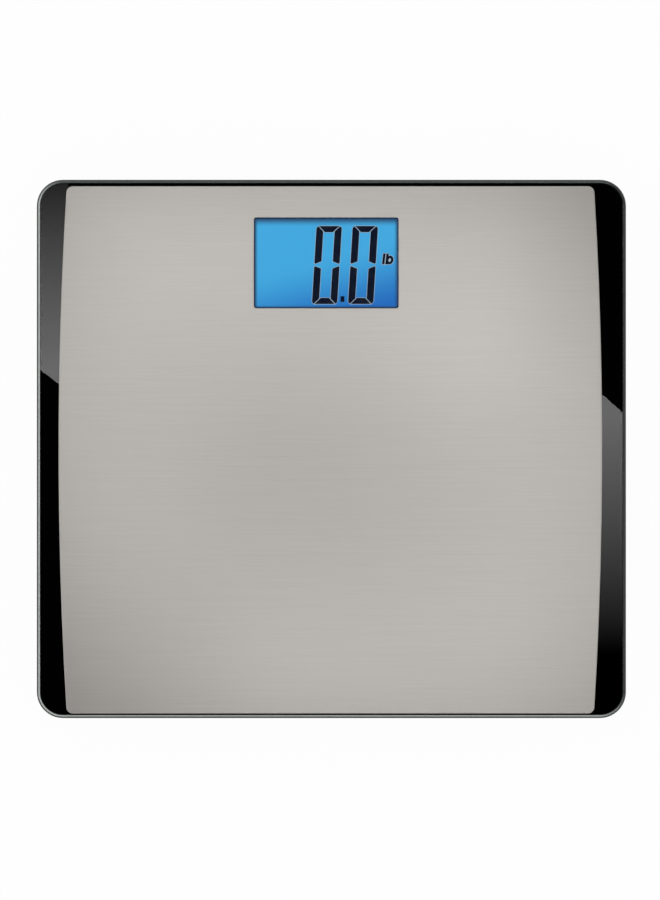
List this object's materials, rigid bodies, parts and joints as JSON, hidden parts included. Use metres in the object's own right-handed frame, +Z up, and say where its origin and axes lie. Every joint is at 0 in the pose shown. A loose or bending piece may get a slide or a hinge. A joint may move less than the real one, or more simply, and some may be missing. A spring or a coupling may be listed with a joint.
{
  "type": "digital bathroom scale",
  "caption": "Low digital bathroom scale: brushed steel standing plate on black-backed glass, blue backlit weight display, plastic base on load-cell feet with a hinged battery door.",
  "frame": {"origin": "on the floor under the middle of the platform", "axes": "+Z up, +Y towards the display, +X to the right of a person who stands on it facing the display"},
  "size_m": [0.406, 0.371, 0.039],
  "materials": {
    "stainless_plate": "fine brushing along the platform's width",
    "adhesive_film": "thin clear adhesive",
    "tempered_glass": "clear, polished rounded edge",
    "black_print": "black enamel fired on the glass's back",
    "foam_tape": "dense black foam",
    "black_abs": "fine moulded texture",
    "zinc_screw": "bright zinc plate",
    "cell_steel": "stamped and nickel plated",
    "gauge_resin": "pale sealing resin",
    "lead_jacket": "grey soft vinyl",
    "gasket_foam": "black foam",
    "lcd_panel": "blue backlit liquid crystal panel",
    "light_guide": "clear acrylic",
    "lamp": "small blue lamps",
    "zebra_rubber": "striped silicone rubber",
    "white_abs": "smooth white moulding",
    "circuit_board": "green solder mask",
    "chip_resin": "black resin",
    "component_body": "tan and black moulded bodies",
    "connector_nylon": "ivory nylon",
    "contact_nickel": "nickel-plated spring steel",
    "battery_can": "plain printed sleeve on a steel can",
    "button_plastic": "grey moulding",
    "switch_case": "black moulding with a metal cover",
    "foot_rubber": "soft grey-black rubber"
  },
  "bodies": {
    "scale_body": {"steel_platform": "stainless_plate", "plate_film": "adhesive_film", "glass_platform": "tempered_glass", "black_print": "black_print", "bonding_tape": "foam_tape", "upper_frame": "black_abs", "base_tray": "black_abs", "base_screws": "zinc_screw", "foot_retainers": "black_abs", "retainer_screws": "zinc_screw", "strain_gauges": "gauge_resin", "cell_leads": "lead_jacket", "display_gasket": "gasket_foam", "lcd_panel": "lcd_panel", "backlight_guide": "light_guide", "backlight_leds": "lamp", "zebra_strips": "zebra_rubber", "display_holder": "white_abs", "main_board": "circuit_board", "controller_chip": "chip_resin", "board_components": "component_body", "wire_connectors": "connector_nylon", "board_screws": "zinc_screw", "contact_plates": "contact_nickel", "contact_springs": "contact_nickel", "battery_leads": "lead_jacket", "tact_switch": "switch_case", "button_board": "circuit_board", "button_board_screws": "zinc_screw", "button_lead": "lead_jacket", "battery_1": "battery_can", "battery_2": "battery_can", "battery_3": "battery_can", "battery_4": "battery_can", "load_cell_front_left": "cell_steel", "load_cell_front_right": "cell_steel", "load_cell_rear_left": "cell_steel", "load_cell_rear_right": "cell_steel"},
    "foot_front_left": {"foot_plunger_front_left": "black_abs", "foot_cup_front_left": "black_abs", "foot_pad_front_left": "foot_rubber", "foot_screw_front_left": "zinc_screw"},
    "foot_front_right": {"foot_plunger_front_right": "black_abs", "foot_cup_front_right": "black_abs", "foot_pad_front_right": "foot_rubber", "foot_screw_front_right": "zinc_screw"},
    "foot_rear_left": {"foot_plunger_rear_left": "black_abs", "foot_cup_rear_left": "black_abs", "foot_pad_rear_left": "foot_rubber", "foot_screw_rear_left": "zinc_screw"},
    "foot_rear_right": {"foot_plunger_rear_right": "black_abs", "foot_cup_rear_right": "black_abs", "foot_pad_rear_right": "foot_rubber", "foot_screw_rear_right": "zinc_screw"},
    "battery_door": {"battery_door": "black_abs", "battery_door_latch": "black_abs"},
    "unit_button": {"unit_button": "button_plastic", "switch_plunger": "switch_case"}
  },
  "joints": [
    {"name": "foot_front_left_press", "type": "slide", "parent": "scale_body", "child": "foot_front_left", "axis": [0, 0, 1], "range_m": [0, 0.0006], "stiffness_N_per_m": 5000, "springref_m": -0.0032, "deforming": ["load_cell_front_left"]},
    {"name": "foot_front_right_press", "type": "slide", "parent": "scale_body", "child": "foot_front_right", "axis": [0, 0, 1], "range_m": [0, 0.0006], "stiffness_N_per_m": 5000, "springref_m": -0.0032, "deforming": ["load_cell_front_right"]},
    {"name": "foot_rear_left_press", "type": "slide", "parent": "scale_body", "child": "foot_rear_left", "axis": [0, 0, 1], "range_m": [0, 0.0006], "stiffness_N_per_m": 5000, "springref_m": -0.0032, "deforming": ["load_cell_rear_left"]},
    {"name": "foot_rear_right_press", "type": "slide", "parent": "scale_body", "child": "foot_rear_right", "axis": [0, 0, 1], "range_m": [0, 0.0006], "stiffness_N_per_m": 5000, "springref_m": -0.0032, "deforming": ["load_cell_rear_right"]},
    {"name": "battery_door_hinge", "type": "hinge", "parent": "scale_body", "child": "battery_door", "pos_m": [0, 0.0296, 0.0134], "axis": [1, 0, 0], "range_deg": [0, 90], "deforming": ["battery_door_latch"]},
    {"name": "unit_button_press", "type": "slide", "parent": "scale_body", "child": "unit_button", "axis": [0, 0, 1], "range_m": [0, 0.0005], "stiffness_N_per_m": 3200}
  ]
}
